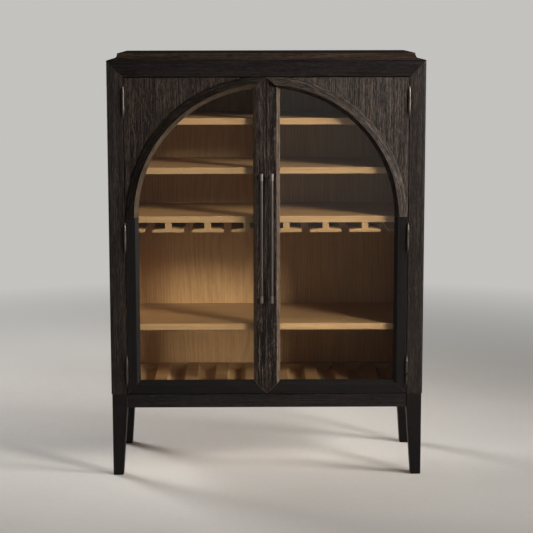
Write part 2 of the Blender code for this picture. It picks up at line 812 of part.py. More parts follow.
def pin_mesh():
    """The pin with the case leaf's knuckles and a long tip at each end, turned about the axis."""
    half = HINGE_HEIGHT / 2
    waist = (PIN_RADIUS + KNUCKLE_RADIUS) / 2
    tip = [(0, half + HINGE_TIP), (PIN_RADIUS / 2, half + HINGE_TIP), (waist, half + HINGE_TIP / 4)]
    profile = list(tip)
    for index in range(KNUCKLE_COUNT - 1, -1, -2):
        low, high = knuckle_span(index)
        if index < KNUCKLE_COUNT - 1:
            profile.append((PIN_RADIUS, high))
        profile += [(KNUCKLE_RADIUS, high), (KNUCKLE_RADIUS, low)]
        if index > 0:
            profile.append((PIN_RADIUS, low))
    profile += [(r, -z) for r, z in reversed(tip)]
    return turned(profile, HINGE_STEPS)


def leaf_mesh(side, indices, near):
    """A leaf from a distance from the middle outwards, with tabs that reach into its knuckles."""
    root = FRONT + RUNNING_GAP
    inside = AXIS_Y + (KNUCKLE_BORE + KNUCKLE_RADIUS) / 2
    half = HINGE_HEIGHT / 2 - RUNNING_GAP / 2
    outline = [(FRONT + LEAF_WIDTH, half), (FRONT + LEAF_WIDTH, -half)]
    if 0 not in indices:
        outline.append((root, -half))
    for index in indices:
        low, high = knuckle_span(index)
        tab = [(root, low), (inside, low), (inside, high), (root, high)]
        outline += tab[1 if index == 0 else 0 : 3 if index == KNUCKLE_COUNT - 1 else 4]
    if KNUCKLE_COUNT - 1 not in indices:
        outline.append((root, half))
    span = sorted((side * near, side * (near + LEAF_THICK)))
    return prism_along_x(outline, *span)


def bored_knuckles_mesh(indices):
    """The door leaf's knuckles, each a tube that turns on the pin."""
    bm = bmesh.new()
    for index in indices:
        low, high = knuckle_span(index)
        wall = [(KNUCKLE_BORE, low), (KNUCKLE_BORE, high), (KNUCKLE_RADIUS, high), (KNUCKLE_RADIUS, low)]
        bm.from_mesh(turned(wall, HINGE_STEPS, closed=True))
    mesh = bpy.data.meshes.new("knuckles")
    bm.to_mesh(mesh)
    bm.free()
    return mesh


def hinge_heights():
    """The middle of each hinge: one near each end of the door and one under the spring of the arch."""
    return {
        "top": DOOR_TOP - HINGE_END,
        "middle": SPRING - HINGE_MIDDLE_DROP,
        "bottom": DOOR_BOTTOM + HINGE_END,
    }


def make_hinges(cabinet, side, axis):
    fixed = list(range(0, KNUCKLE_COUNT, 2))
    turning = list(range(1, KNUCKLE_COUNT, 2))
    for place, height in hinge_heights().items():
        lift = Matrix.Translation((0, 0, height))
        on_axis = Matrix.Translation((side * AXIS_X, AXIS_Y, height))
        name = f"{side_name(side)}_hinge_{place}"
        pin = pin_mesh()
        pin.transform(on_axis)
        case_leaf = leaf_mesh(side, fixed, OPENING_HALF - JOINT_GAP - LEAF_THICK)
        case_leaf.transform(lift)
        piece = cabinet.add(f"{name}_case_leaf", pin, cabinet.gunmetal, ease=0, smooth=True)
        cabinet.combine(piece, case_leaf, "UNION")
        door_leaf = leaf_mesh(side, turning, DOOR_EDGE + JOINT_GAP)
        door_leaf.transform(lift)
        knuckles = bored_knuckles_mesh(turning)
        knuckles.transform(on_axis)
        piece = cabinet.add(f"{name}_door_leaf", door_leaf, cabinet.gunmetal, axis, ease=0, smooth=True)
        cabinet.combine(piece, knuckles, "UNION")


def make_catch(cabinet, side):
    """A magnetic catch under the top, just behind the closed door."""
    rear = FRONT + DOOR_THICK + CATCH_GAP
    low = (side * CATCH_PLACE, rear, INNER_TOP - JOINT_GAP - CATCH_HEIGHT)
    high = (side * (CATCH_PLACE + CATCH_WIDTH), rear + CATCH_DEPTH, INNER_TOP - JOINT_GAP)
    cabinet.add(f"catch_{side_name(side)}", box(low, high), cabinet.catch_body)


def main():
    for item in list(bpy.data.objects):
        bpy.data.objects.remove(item)
    cabinet = Cabinet()
    shelf_tops = shelf_heights()
    make_base(cabinet)
    make_case(cabinet, shelf_tops)
    make_interior(cabinet, shelf_tops)
    for side in (-1, 1):
        axis = make_door(cabinet, side)
        make_hinges(cabinet, side, axis)
        make_catch(cabinet, side)


main()
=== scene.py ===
"""The looks of the arched bar cabinet: wood, metal and glass, small fittings, stage, light and camera.

Metres, +Z up. The doors face -Y and the cabinet stands on the floor at z = 0.
"""

import math
from collections import namedtuple

import bmesh
import bpy
from mathutils import Matrix, Vector


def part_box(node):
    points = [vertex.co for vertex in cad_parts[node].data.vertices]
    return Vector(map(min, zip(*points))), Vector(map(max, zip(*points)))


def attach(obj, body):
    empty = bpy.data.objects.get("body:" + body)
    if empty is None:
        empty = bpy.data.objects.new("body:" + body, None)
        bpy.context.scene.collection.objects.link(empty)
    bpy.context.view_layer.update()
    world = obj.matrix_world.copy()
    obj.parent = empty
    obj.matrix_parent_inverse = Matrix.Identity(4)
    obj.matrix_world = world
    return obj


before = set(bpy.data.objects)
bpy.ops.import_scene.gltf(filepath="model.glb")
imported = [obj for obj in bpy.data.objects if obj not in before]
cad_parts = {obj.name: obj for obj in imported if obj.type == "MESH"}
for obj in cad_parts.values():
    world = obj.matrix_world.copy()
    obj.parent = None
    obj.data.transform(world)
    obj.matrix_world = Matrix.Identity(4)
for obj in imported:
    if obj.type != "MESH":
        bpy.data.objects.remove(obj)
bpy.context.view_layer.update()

SIDES = ("left", "right")
HINGES = ("top", "middle", "bottom")

# How deeply each dark board is brushed, and which way its grain runs. The spandrels, the arches and the
# top cap have lighter and darker copies of a stain, which are painted light.
DARK_BOARDS = {
    ("deep", "z"): ["right_spandrel"],
    # Painted shade: the left spandrel has a darker copy of the right one's stain, for light from the right
    ("dusky", "z"): ["left_spandrel"],
    ("bold", "z"): [f"{side}_meeting_stile" for side in SIDES],
    ("medium", "z"): [f"side_{side}" for side in SIDES],
    # Painted light: the right arch gets a lighter stain with more edge highlight, the left arch a darker
    # one, for light from the right
    ("light", "arch"): ["right_arch"],
    ("dim", "arch"): ["left_arch"],
    ("soft", "x"): ["top_panel", "apron_front", "apron_rear"],
    ("soft", "y"): ["apron_left", "apron_right"],
    # Painted light: the top cap is stained lighter and browner than the top, for light from above on its
    # cove
    ("brown", "x"): ["top_cap"],
    ("fine", "x"): [f"{side}_bottom_rail" for side in SIDES],
    ("fine", "z"): [
        *(f"{side}_{piece}" for side in SIDES for piece in ("hinge_stile", "glass_stop")),
        *(f"leg_{end}_{side}" for end in ("front", "rear") for side in SIDES),
    ],
}
SHELVES = [f"shelf_{name}" for name in ("top", "upper", "stemware", "lower")]
NATURAL_BOARDS = {
    "x": ["bottle_cradle", "bottom_panel", "lining_top"],
    "y": [f"stemware_rail_{i + 1}" for i in range(6)] + [f"stemware_end_rail_{side}" for side in SIDES],
    "z": ["back_panel", "lining_left", "lining_right"],
}

# Camera, fitted to the photograph's frame, at a distance from the front of the case
CAMERA_ASIDE = -0.0500
CAMERA_HEIGHT = 1.8000
CAMERA_DISTANCE = 6.0
CAMERA_PITCH = math.radians(8.5611)
CAMERA_TURN = math.radians(0.4704)
CAMERA_ROLL = math.radians(0.1059)
CAMERA_LENS = 105.90
CAMERA_SENSOR = 36.0
CAMERA_SHIFT = -0.03


class Finish:
    """A material while it is wired. Most methods add nodes and return what comes out of them."""

    def __init__(self, name):
        self.material = bpy.data.materials.new(name)
        self.material.use_nodes = True
        self.tree = self.material.node_tree
        self.shader = self.tree.nodes["Principled BSDF"]
        self.output = self.tree.nodes["Material Output"]

    def feed(self, socket, value):
        """Sets a socket to a number or a colour, or links it to another node's output."""
        if isinstance(value, bpy.types.NodeSocket):
            self.tree.links.new(value, socket)
        else:
            socket.default_value = value

    def node(self, kind, inputs=None, **settings):
        node = self.tree.nodes.new(kind)
        for name, value in settings.items():
            setattr(node, name, value)
        for name, value in (inputs or {}).items():
            self.feed(node.inputs[name], value)
        return node

    def math(self, operation, first, second=0.0):
        return self.node("ShaderNodeMath", {0: first, 1: second}, operation=operation).outputs[0]

    def blend(self, *parts):
        """A sum of values, each with its weight."""
        total = None
        for value, weight in parts:
            share = self.math("MULTIPLY", value, weight)
            total = share if total is None else self.math("ADD", total, share)
        return total

    def length(self, first, second):
        """How long the slope of a right-angled triangle is, from its two legs."""
        squares = [self.math("MULTIPLY", leg, leg) for leg in (first, second)]
        return self.math("SQRT", self.math("ADD", *squares))

    def vector_math(self, operation, first, second):
        return self.node("ShaderNodeVectorMath", {0: first, 1: second}, operation=operation).outputs[0]

    def dot(self, first, second):
        node = self.node("ShaderNodeVectorMath", {0: first, 1: second}, operation="DOT_PRODUCT")
        return node.outputs["Value"]

    def split(self, vector):
        return self.node("ShaderNodeSeparateXYZ", {0: vector}).outputs

    def combine(self, x, y, z):
        return self.node("ShaderNodeCombineXYZ", {0: x, 1: y, 2: z}).outputs[0]

    def noise(self, vector, scale, detail=2.0, roughness=0.5):
        inputs = {"Vector": vector, "Scale": scale, "Detail": detail, "Roughness": roughness}
        return self.node("ShaderNodeTexNoise", inputs).outputs["Fac"]

    def remap(self, value, low, high, to_low=0.0, to_high=1.0):
        """Spreads the stretch from low to high over another, and holds it there."""
        inputs = {"Value": value, "From Min": low, "From Max": high, "To Min": to_low, "To Max": to_high}
        return self.node("ShaderNodeMapRange", inputs, clamp=True).outputs["Result"]

    def mix(self, factor, first, second):
        node = self.node("ShaderNodeMix", {"Factor": factor}, data_type="RGBA")
        self.feed(node.inputs["A"], first)
        self.feed(node.inputs["B"], second)
        return node.outputs["Result"]

    def place(self):
        """Where a point is on its piece: the row's own frame at rest, in metres."""
        return self.node("ShaderNodeTexCoord").outputs["Object"]

    def scale(self, vector, factor):
        inputs = {0: vector, "Scale": factor}
        return self.node("ShaderNodeVectorMath", inputs, operation="SCALE").outputs[0]

    def bump(self, height, strength, distance):
        inputs = {"Height": height, "Strength": strength, "Distance": distance}
        return self.node("ShaderNodeBump", inputs).outputs["Normal"]

    def arris(self, reach):
        """1 along the sharp edges and 0 on the flats, by how a rounded normal leaves the true one."""
        rounded = self.node("ShaderNodeBevel", {"Radius": reach}, samples=4).outputs["Normal"]
        true = self.node("ShaderNodeNewGeometry").outputs["True Normal"]
        return self.remap(self.dot(rounded, true), 0.97, 0.80)

    def surface(self, **inputs):
        for name, value in inputs.items():
            self.feed(self.shader.inputs[name.replace("_", " ")], value)


def colour(red, green, blue):
    """A colour for a socket from 8-bit sRGB values."""
    levels = [value / 255 for value in (red, green, blue)]
    linear = [v / 12.92 if v <= 0.04045 else ((v + 0.055) / 1.055) ** 2.4 for v in levels]
    return (*linear, 1.0)


# Wood


# Stain in the brushed-out grooves and on the ridges left standing, how narrow the ridges are, how deep the
# grooves are in metres, how much the edges are scuffed and the bevels rubbed, both with a painted
# highlight, and the sheen
Brushing = namedtuple("Brushing", "groove ridge narrowness relief wear rub sheen")
BRUSHING = {
    "deep": Brushing(colour(12, 10, 9), colour(85, 73, 66), 1.9, 0.0012, 0.10, 0.0, 0.10),
    # Painted shade: a darker copy of the deep stain for the left spandrel, for light that falls from the
    # right
    "dusky": Brushing(colour(8, 6, 5), colour(77, 63, 54), 2.3, 0.0013, 0.10, 0.0, 0.08),
    "bold": Brushing(colour(7, 5, 5), colour(92, 79, 71), 4.0, 0.0014, 0.45, 0.5, 0.06),
    "medium": Brushing(colour(10, 8, 7), colour(58, 49, 44), 1.8, 0.0010, 0.20, 0.0, 0.10),
    # Painted light: lighter and darker copies of one stain for the right and left arches, for light from
    # the right
    "light": Brushing(colour(8, 6, 5), colour(88, 76, 68), 2.2, 0.0014, 0.60, 0.0, 0.08),
    "dim": Brushing(colour(8, 6, 5), colour(58, 50, 43), 2.0, 0.0010, 0.40, 0.4, 0.04),
    "soft": Brushing(colour(20, 18, 18), colour(46, 42, 41), 1.3, 0.0003, 0.20, 0.0, 0.0),
    # Painted light: a lighter, browner stain for the top cap, for light from above on its cove
    "brown": Brushing(colour(24, 20, 17), colour(68, 57, 48), 1.3, 0.0003, 0.20, 0.0, 0.0),
    "fine": Brushing(colour(11, 9, 8), colour(24, 21, 20), 1.4, 0.0003, 0.20, 0.0, 0.10),
}

# The wood that shows at scuffed edges and rubbed bevels, which also serves as a painted highlight on them,
# and how far from an edge the scuffs and the highlight reach
WORN_AND_LIT_WOOD = colour(128, 108, 90)
WORN = 0.0018

# Clear-finished oak: its darker and lighter wood, its pores, and the paler front edge, a painted highlight
# for the light on the shelves' fronts, with its depth and its blend
OAK_DARK = colour(166, 125, 79)
OAK_LIGHT = colour(190, 150, 101)
OAK_PORES = colour(118, 83, 46)
OAK_LIT_EDGE = colour(216, 177, 137)
LIT_EDGE_DEPTH, LIT_EDGE_BLEND = 0.006, 0.0002

# The log that the boards come from: a year's growth, how far aside and along it they lie, how deep its
# heart is under them, how much it tapers and over which length, and how far and finely its rings wander
YEAR = 0.0062
BOARDS_ASIDE, BOARDS_ALONG = 0.30, 19.7
HEART, HEART_SPAN = 0.06, 0.16
TAPER, TAPER_LENGTH = 0.03, 2.0
WANDER, WANDER_SCALE = 0.016, 9.0


def grain_space(finish, grain, centre):
    """Across, through and along the grain of a board, each board from its own place in the log."""
    x, y, z = finish.split(finish.place())
    if grain == "x":
        across, through, along = z, y, x
    elif grain == "y":
        across, through, along = x, z, y
    elif grain == "z":
        across, through, along = x, y, z
    else:
        rise = finish.math("SUBTRACT", z, centre.z)
        across, through = finish.length(x, rise), y
        along = finish.math("MULTIPLY", finish.math("ARCTAN2", rise, x), centre.x)
    chance = finish.node("ShaderNodeObjectInfo").outputs["Random"]
    shift = finish.math("SUBTRACT", finish.math("MULTIPLY", chance, BOARDS_ASIDE), BOARDS_ASIDE / 2)
    across = finish.math("ADD", across, shift)
    along = finish.math("ADD", along, finish.math("MULTIPLY", chance, BOARDS_ALONG))
    return across, through, along, chance


def bevels(finish, grain, centre):
    """1 on the slopes beside a board's face and 0 on the face, in the board's own frame."""
    x, _, z = finish.split(finish.node("ShaderNodeTexCoord").outputs["Normal"])
    if grain != "arch":
        return finish.remap(finish.math("ABSOLUTE", x), 0.45, 0.60)
    from_centre = finish.vector_math("SUBTRACT", finish.place(), (0.0, 0.0, centre.z))
    flat = finish.vector_math("MULTIPLY", from_centre, (1.0, 0.0, 1.0))
    outward = finish.node("ShaderNodeVectorMath", {0: flat}, operation="NORMALIZE").outputs[0]
    return finish.remap(finish.dot(outward, finish.combine(x, 0.0, z)), -0.30, -0.60)


def stretched(finish, across, through, along, share):
    """A place in the grain, shortened along it to a share, so that a pattern runs with the grain."""
    return finish.combine(across, through, finish.math("MULTIPLY", along, share))


def growth(finish, across, through, along, chance):
    """The year rings of a tapering log where a board's surface cuts them: 0 in early wood, 1 in late."""
    wander = finish.noise(stretched(finish, across, through, along, 0.22), WANDER_SCALE)
    draw = finish.math("FRACT", finish.math("MULTIPLY", chance, 7.13))
    heart = finish.math("ADD", finish.math("MULTIPLY", draw, HEART_SPAN), HEART)
    taper = finish.math("MULTIPLY", finish.math("PINGPONG", along, TAPER_LENGTH), TAPER)
    depth = finish.math("ADD", finish.math("ADD", through, heart), taper)
    radius = finish.blend((finish.length(across, depth), 1.0), (wander, WANDER))
    years = finish.math("DIVIDE", radius, YEAR)
    return finish.math("MULTIPLY", finish.math("PINGPONG", years, 0.5), 2.0)


def dark_oak(brushing, grain, centre):
    """Oak brushed along its grain and stained near black: ridges of late wood over dark grooves."""
    look = BRUSHING[brushing]
    finish = Finish(f"dark_oak_{brushing}_{grain}")
    *grain_place, chance = grain_space(finish, grain, centre)
    rings = growth(finish, *grain_place, chance)
    band = finish.noise(stretched(finish, *grain_place, 0.030), 210.0)
    streak = finish.noise(stretched(finish, *grain_place, 0.085), 400.0, detail=3.0, roughness=0.65)
    fibre = finish.noise(stretched(finish, *grain_place, 0.09), 950.0)
    tone = finish.blend(
        (rings, 0.08),
        (finish.remap(band, 0.30, 0.70), 0.24),
        (finish.remap(streak, 0.30, 0.70), 0.40),
        (finish.remap(fibre, 0.30, 0.70), 0.28),
    )
    crest = finish.remap(tone, 0.28, 0.74)
    pores = finish.remap(fibre, 0.60, 0.74)
    stain = finish.mix(finish.math("POWER", crest, look.narrowness), look.groove, look.ridge)
    pored = finish.mix(finish.math("MULTIPLY", pores, 0.6), stain, look.groove)
    # The edges get scuffed wood and with it a painted highlight, for light catching the arrises
    scuffed_and_lit = finish.mix(finish.math("MULTIPLY", finish.arris(WORN), look.wear), pored, WORN_AND_LIT_WOOD)
    # The bevels of the meeting stiles and of the left arch get rubbed wood and a painted highlight, for
    # light on bevels that face it
    if look.rub:
        rubbed_and_lit_bevels = finish.math("MULTIPLY", bevels(finish, grain, centre), look.rub)
        patchy_bevel_highlight = finish.math("MULTIPLY", rubbed_and_lit_bevels, finish.remap(tone, 0.2, 0.7))
        scuffed_and_lit = finish.mix(patchy_bevel_highlight, scuffed_and_lit, WORN_AND_LIT_WOOD)
    height = finish.blend((crest, 1.0), (pores, -0.5))
    finish.surface(
        Base_Color=finish.scale(scuffed_and_lit, finish.remap(chance, 0.0, 1.0, 0.88, 1.08)),
        Roughness=finish.remap(tone, 0.1, 0.9, 0.56, 0.42),
        Normal=finish.bump(height, 0.6, look.relief),
        Specular_IOR_Level=look.sheen,
    )
    return finish.material


def natural_oak(name, grain, centre, edge=None):
    """Clear-finished oak: soft year rings and short darker pores. A front edge is paler, a painted
    highlight.
    """
    finish = Finish(name)
    *grain_place, chance = grain_space(finish, grain, centre)
    rings = growth(finish, *grain_place, chance)
    streak = finish.noise(stretched(finish, *grain_place, 0.03), 120.0, detail=4.0, roughness=0.6)
    fibre = finish.noise(stretched(finish, *grain_place, 0.05), 1000.0, detail=1.0)
    pores = finish.remap(fibre, 0.58, 0.72)
    tone = finish.blend((rings, 0.32), (finish.remap(streak, 0.3, 0.7), 0.68))
    timber = finish.mix(finish.remap(tone, 0.1, 0.9), OAK_DARK, OAK_LIGHT)
    pored = finish.mix(finish.math("MULTIPLY", pores, 0.40), timber, OAK_PORES)
    # A painted highlight: the front edge is paler, for the light that falls on the shelves' fronts
    if edge is not None:
        y = finish.split(finish.place())["Y"]
        lit_edge_mask = finish.remap(y, edge + LIT_EDGE_DEPTH + LIT_EDGE_BLEND, edge + LIT_EDGE_DEPTH)
        pored = finish.mix(finish.math("MULTIPLY", lit_edge_mask, 0.12), pored, OAK_LIT_EDGE)
    height = finish.blend((streak, 0.5), (pores, -0.5))
    finish.surface(
        Base_Color=finish.scale(pored, finish.remap(chance, 0.0, 1.0, 0.93, 1.04)),
        Roughness=finish.remap(tone, 0.1, 0.9, 0.58, 0.47),
        Normal=finish.bump(height, 0.25, 0.0005),
        Specular_IOR_Level=0.35,
    )
    return finish.material


def dress_wood():
    """Gives each board its wood. The grain of the arch turns about its centre, with x as its radius."""
    low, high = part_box("right_arch")
    centre = Vector((high.x, 0, low.z))
    for (brushing, grain), nodes in DARK_BOARDS.items():
        material = dark_oak(brushing, grain, centre)
        for node in nodes:
            give(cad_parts[node], material)
    for grain, nodes in NATURAL_BOARDS.items():
        material = natural_oak(f"natural_oak_{grain}", grain, centre)
        for node in nodes:
            give(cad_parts[node], material)
    material = natural_oak("natural_oak_lit_edge", "x", centre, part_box(SHELVES[0])[0].y)
    for node in SHELVES:
        give(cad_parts[node], material)


def give(piece, material):
    """Puts one material on a piece."""
    if not piece.material_slots:
        piece.data.materials.append(material)
    for slot in piece.material_slots:
        slot.material = material


# Metal, glass and plastic


# Lower than real glass has, set to the veil on the panes of the photograph
GLASS_IOR = 1.26


def gunmetal(name, dark, light, roughness):
    """Satin dark metal with fine brushing across it and faint handling marks."""
    finish = Finish(name)
    place = finish.place()
    brushed = finish.noise(finish.vector_math("MULTIPLY", place, (1.0, 1.0, 14.0)), 260.0)
    marks = finish.noise(place, 38.0, detail=3.0, roughness=0.6)
    tone = finish.blend((brushed, 0.5), (marks, 0.5))
    finish.surface(
        Base_Color=finish.mix(finish.remap(tone, 0.3, 0.7), dark, light),
        Metallic=1.0,
        Roughness=finish.remap(marks, 0.3, 0.7, roughness - 0.06, roughness + 0.08),
        Normal=finish.bump(brushed, 0.08, 0.0002),
    )
    return finish.material


def handle_metal():
    """The handle's metal, with its two end collars brighter than its bar."""
    low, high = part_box("left_handle")
    collar, seam = 0.0275, 0.0006
    finish = Finish("handle_gunmetal")
    place = finish.place()
    z = finish.split(place)["Z"]
    from_middle = finish.math("ABSOLUTE", finish.math("SUBTRACT", z, (low.z + high.z) / 2))
    edge = (high.z - low.z) / 2 - collar
    bright = finish.remap(from_middle, edge - seam, edge)
    brushed = finish.noise(finish.vector_math("MULTIPLY", place, (1.0, 1.0, 0.03)), 900.0)
    marks = finish.noise(place, 30.0, detail=3.0)
    bar = finish.mix(brushed, colour(64, 60, 57), colour(92, 87, 82))
    end = finish.mix(brushed, colour(94, 89, 84), colour(120, 114, 108))
    finish.surface(
        Base_Color=finish.mix(bright, bar, end),
        Metallic=1.0,
        Roughness=finish.remap(marks, 0.3, 0.7, 0.31, 0.37),
    )
    return finish.material


def clear_glass():
    """A thin clear pane: light goes straight through, and the face it meets first mirrors a little."""
    finish = Finish("clear_glass")
    place = finish.place()
    film = finish.noise(place, 9.0, detail=4.0, roughness=0.6)
    clear = finish.node("ShaderNodeBsdfTransparent", {"Color": (0.955, 0.965, 0.960, 1.0)})
    mirror = finish.node("ShaderNodeBsdfGlossy", {"Color": (0.95, 0.95, 0.95, 1.0)})
    finish.feed(mirror.inputs["Roughness"], finish.remap(film, 0.35, 0.75, 0.01, 0.05))
    fresnel = finish.node("ShaderNodeFresnel", {"IOR": GLASS_IOR})
    first = finish.math("SUBTRACT", 1.0, finish.node("ShaderNodeNewGeometry").outputs["Backfacing"])
    share = finish.math("MULTIPLY", fresnel.outputs[0], first)
    pane = finish.node("ShaderNodeMixShader", {0: share, 1: clear.outputs[0], 2: mirror.outputs[0]})
    finish.tree.nodes.remove(finish.shader)
    finish.feed(finish.output.inputs["Surface"], pane.outputs[0])
    return finish.material


def moulded_plastic():
    """Dark moulded plastic with a fine sparked texture."""
    finish = Finish("moulded_plastic")
    place = finish.place()
    spark = finish.noise(place, 1400.0)
    cloud = finish.noise(place, 60.0)
    finish.surface(
        Base_Color=finish.mix(cloud, colour(48, 46, 44), colour(60, 58, 56)),
        Roughness=finish.remap(cloud, 0.3, 0.7, 0.48, 0.6),
        Normal=finish.bump(spark, 0.15, 0.0002),
    )
    return finish.material


def dress_fittings():
    """Gives the hinges, handles, panes and catches their materials."""
    bronze = gunmetal("hinge_gunmetal", colour(64, 59, 54), colour(98, 90, 82), 0.32)
    handle = handle_metal()
    glass = clear_glass()
    plastic = moulded_plastic()
    for side in SIDES:
        give(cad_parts[f"{side}_handle"], handle)
        give(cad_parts[f"{side}_glass"], glass)
        give(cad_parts[f"catch_{side}"], plastic)
        for place in HINGES:
            give(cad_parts[f"{side}_hinge_{place}_case_leaf"], bronze)
            give(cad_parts[f"{side}_hinge_{place}_door_leaf"], bronze)


# Round shading of the turned and curved nodes


# Corners that are closer than this become one
WELD = 1e-5


def round_shading(angle):
    """A modifier's nodes: they weld a mesh and shade it smooth, apart from edges over an angle."""
    group = bpy.data.node_groups.new("round_shading", "GeometryNodeTree")
    for way in ("INPUT", "OUTPUT"):
        group.interface.new_socket("Geometry", in_out=way, socket_type="NodeSocketGeometry")
    last = group.nodes.new("NodeGroupInput").outputs[0]

    def then(kind, **settings):
        nonlocal last
        node = group.nodes.new(kind)
        for name, value in settings.items():
            node.inputs[name].default_value = value
        group.links.new(last, node.inputs["Geometry"])
        last = node.outputs["Geometry"]
        return node

    then("GeometryNodeRemoveAttribute", Name="custom_normal")
    then("GeometryNodeMergeByDistance", Distance=WELD)
    then("GeometryNodeSetShadeSmooth")
    sharp = then("GeometryNodeSetShadeSmooth")
    sharp.domain = "EDGE"
    sharp.inputs["Shade Smooth"].default_value = False
    turn = group.nodes.new("GeometryNodeInputMeshEdgeAngle").outputs["Unsigned Angle"]
    beyond = group.nodes.new("FunctionNodeCompare")
    beyond.operation = "GREATER_THAN"
    beyond.inputs["B"].default_value = math.radians(angle)
    group.links.new(turn, beyond.inputs["A"])
    group.links.new(beyond.outputs[0], sharp.inputs["Selection"])
    group.links.new(last, group.nodes.new("NodeGroupOutput").inputs[0])
    return group


def round_curves():
    """Shades the facets of what is turned or curved, each kind up to the angle between its facets."""
    hinges = [f"{side}_hinge_{place}" for side in SIDES for place in HINGES]
    leaves = [f"{hinge}_{leaf}_leaf" for hinge in hinges for leaf in ("case", "door")]
    kinds = {
        20: [*(f"{side}_arch" for side in SIDES), "bottle_cradle", "top_cap"],
        25: [f"{side}_handle" for side in SIDES],
        35: leaves,
    }
    for angle, nodes in kinds.items():
        group = round_shading(angle)
        for node in nodes:
            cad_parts[node].modifiers.new("Round shading", "NODES").node_group = group


# Small pieces


def new_piece(name, bm, material, body):
    """A piece from a bmesh, dressed and riding on a body."""
    bmesh.ops.recalc_face_normals(bm, faces=bm.faces)
    mesh = bpy.data.meshes.new(name)
    bm.to_mesh(mesh)
    bm.free()
    mesh.materials.append(material)
    piece = bpy.data.objects.new(name, mesh)
    bpy.context.scene.collection.objects.link(piece)
    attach(piece, body)
    return piece


def sweep(bm, section, start, end, lay):
    """A closed bar with a flat section, from start to end; lay puts a section point at a distance."""
    ends = [[bm.verts.new(lay(point, place)) for point in section] for place in (start, end)]
    for i in range(len(section)):
        j = (i + 1) % len(section)
        bm.faces.new((ends[0][i], ends[0][j], ends[1][j], ends[1][i]))
    for ring in ends:
        bm.faces.new(ring)


def pile():
    """Dense black pile of a dust seal."""
    finish = Finish("pile_seal")
    place = finish.place()
    tuft = finish.noise(place, 2200.0)
    clump = finish.noise(place, 240.0, detail=3.0)
    finish.surface(
        Base_Color=finish.mix(clump, colour(14, 13, 13), colour(30, 28, 27)),
        Roughness=0.95,
        Normal=finish.bump(tuft, 0.5, 0.0004),
        Specular_IOR_Level=0.1,
    )
    return finish.material


def make_seals():
    """Pile seals in the gap between the doors, and under the top behind them."""
    seal = pile()
    reach, root, depth, short, clear = 0.00007, 0.0006, 0.0050, 0.002, 0.001
    fore, aft, bevel = -0.0003, 0.0043, 0.0004
    nose = [(reach + bevel, fore), (reach, 0.0008), (reach, 0.0032), (reach + bevel, aft)]
    for side, hand in zip(SIDES, (-1, 1)):
        low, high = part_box(f"{side}_meeting_stile")
        edge = min(abs(low.x), abs(high.x))
        front = low.y + depth
        section = [(edge + root, fore), *nose, (edge + root, aft)]
        bm = bmesh.new()
        sweep(bm, section, low.z + short, high.z - short, lambda p, z: (hand * p[0], front + p[1], z))
        new_piece(f"{side}_meeting_seal", bm, seal, f"{side}_door")
    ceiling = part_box("lining_top")[0].z
    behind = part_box("left_meeting_stile")[1].y + clear
    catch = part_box("catch_right")
    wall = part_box("lining_right")[0].x
    bm = bmesh.new()
    section = [(0.0, 0.0), (0.0028, 0.0), (0.0024, -0.0075), (0.0014, -0.0085), (0.0004, -0.0075)]
    spans = [(-wall, -catch[1].x), (-catch[0].x, catch[0].x), (catch[1].x, wall)]
    for start, end in spans:
        sweep(bm, section, start + clear, end - clear, lambda p, x: (x, behind + p[0], ceiling + p[1]))
    new_piece("top_dust_seal", bm, seal, "case")


def screw(bm, turn, radius, rise):
    """A screw's head with a cross recess, standing on the plane that turn gives it."""
    steps = 20
    angles = [math.tau * i / steps for i in range(steps)]
    rounding = [(1.0, 0.0), (0.97, 0.5), (0.85, 0.85), (0.66, 1.0)]

    def ring(points, height):
        return [bm.verts.new(turn @ Vector((x, y, height))) for x, y in points]

    def band(low, high):
        for i in range(len(low)):
            j = (i + 1) % len(low)
            bm.faces.new((low[i], low[j], high[j], high[i]))

    circle = [(radius * math.cos(a), radius * math.sin(a)) for a in angles]
    rings = []
    for share, height in rounding:
        rings.append(ring([(x * share, y * share) for x, y in circle], rise * height))
    for low, high in zip(rings, rings[1:]):
        band(low, high)
    bm.faces.new(rings[0])
    arm, half, sunk = radius * 0.46, radius * 0.12, rise * 0.25
    quarter = [(arm, -half), (arm, half), (half, half)]
    turns = ((1, 0), (0, 1), (-1, 0), (0, -1))
    cross = [(x * c - y * s, x * s + y * c) for c, s in turns for x, y in quarter]
    lip = ring(cross, rise)
    floor = ring(cross, sunk)
    band(floor, lip)
    bm.faces.new(floor)
    rims = [bm.edges.get((loop[i - 1], loop[i])) for loop in (rings[-1], lip) for i in range(len(loop))]
    bmesh.ops.triangle_fill(bm, use_beauty=True, use_dissolve=False, edges=rims)


def facing(place, direction):
    """A turn and a shift that lay a piece's Z along a direction, at a place."""
    return Matrix.Translation(place) @ Vector(direction).to_track_quat("Z", "Y").to_matrix().to_4x4()


def make_hinge_screws(metal):
    """Three countersunk screws in each leaf, within the gap that the closed leaves leave."""
    leaf_build, radius, rise = 0.0013, 0.0032, 0.00014
    near, far, spacing = 0.007, 0.012, 0.027
    for side, hand in zip(SIDES, (-1, 1)):
        jamb = abs(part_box(f"lining_{side}")[0 if hand > 0 else 1].x) - leaf_build
        low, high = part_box(f"{side}_hinge_stile")
        edge = max(abs(low.x), abs(high.x)) + leaf_build
        for place in HINGES:
            low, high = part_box(f"{side}_hinge_{place}_door_leaf")
            middle = (low.z + high.z) / 2
            seats = [
                (high.y - near, middle - spacing),
                (high.y - far, middle),
                (high.y - near, middle + spacing),
            ]
            leaves = (("case", jamb, -hand, "case"), ("door", edge, hand, f"{side}_door"))
            for leaf, x, way, body in leaves:
                bm = bmesh.new()
                for y, z in seats:
                    screw(bm, facing((hand * x, y, z), (way, 0, 0)), radius, rise)
                new_piece(f"{side}_hinge_{place}_{leaf}_screws", bm, metal, body)


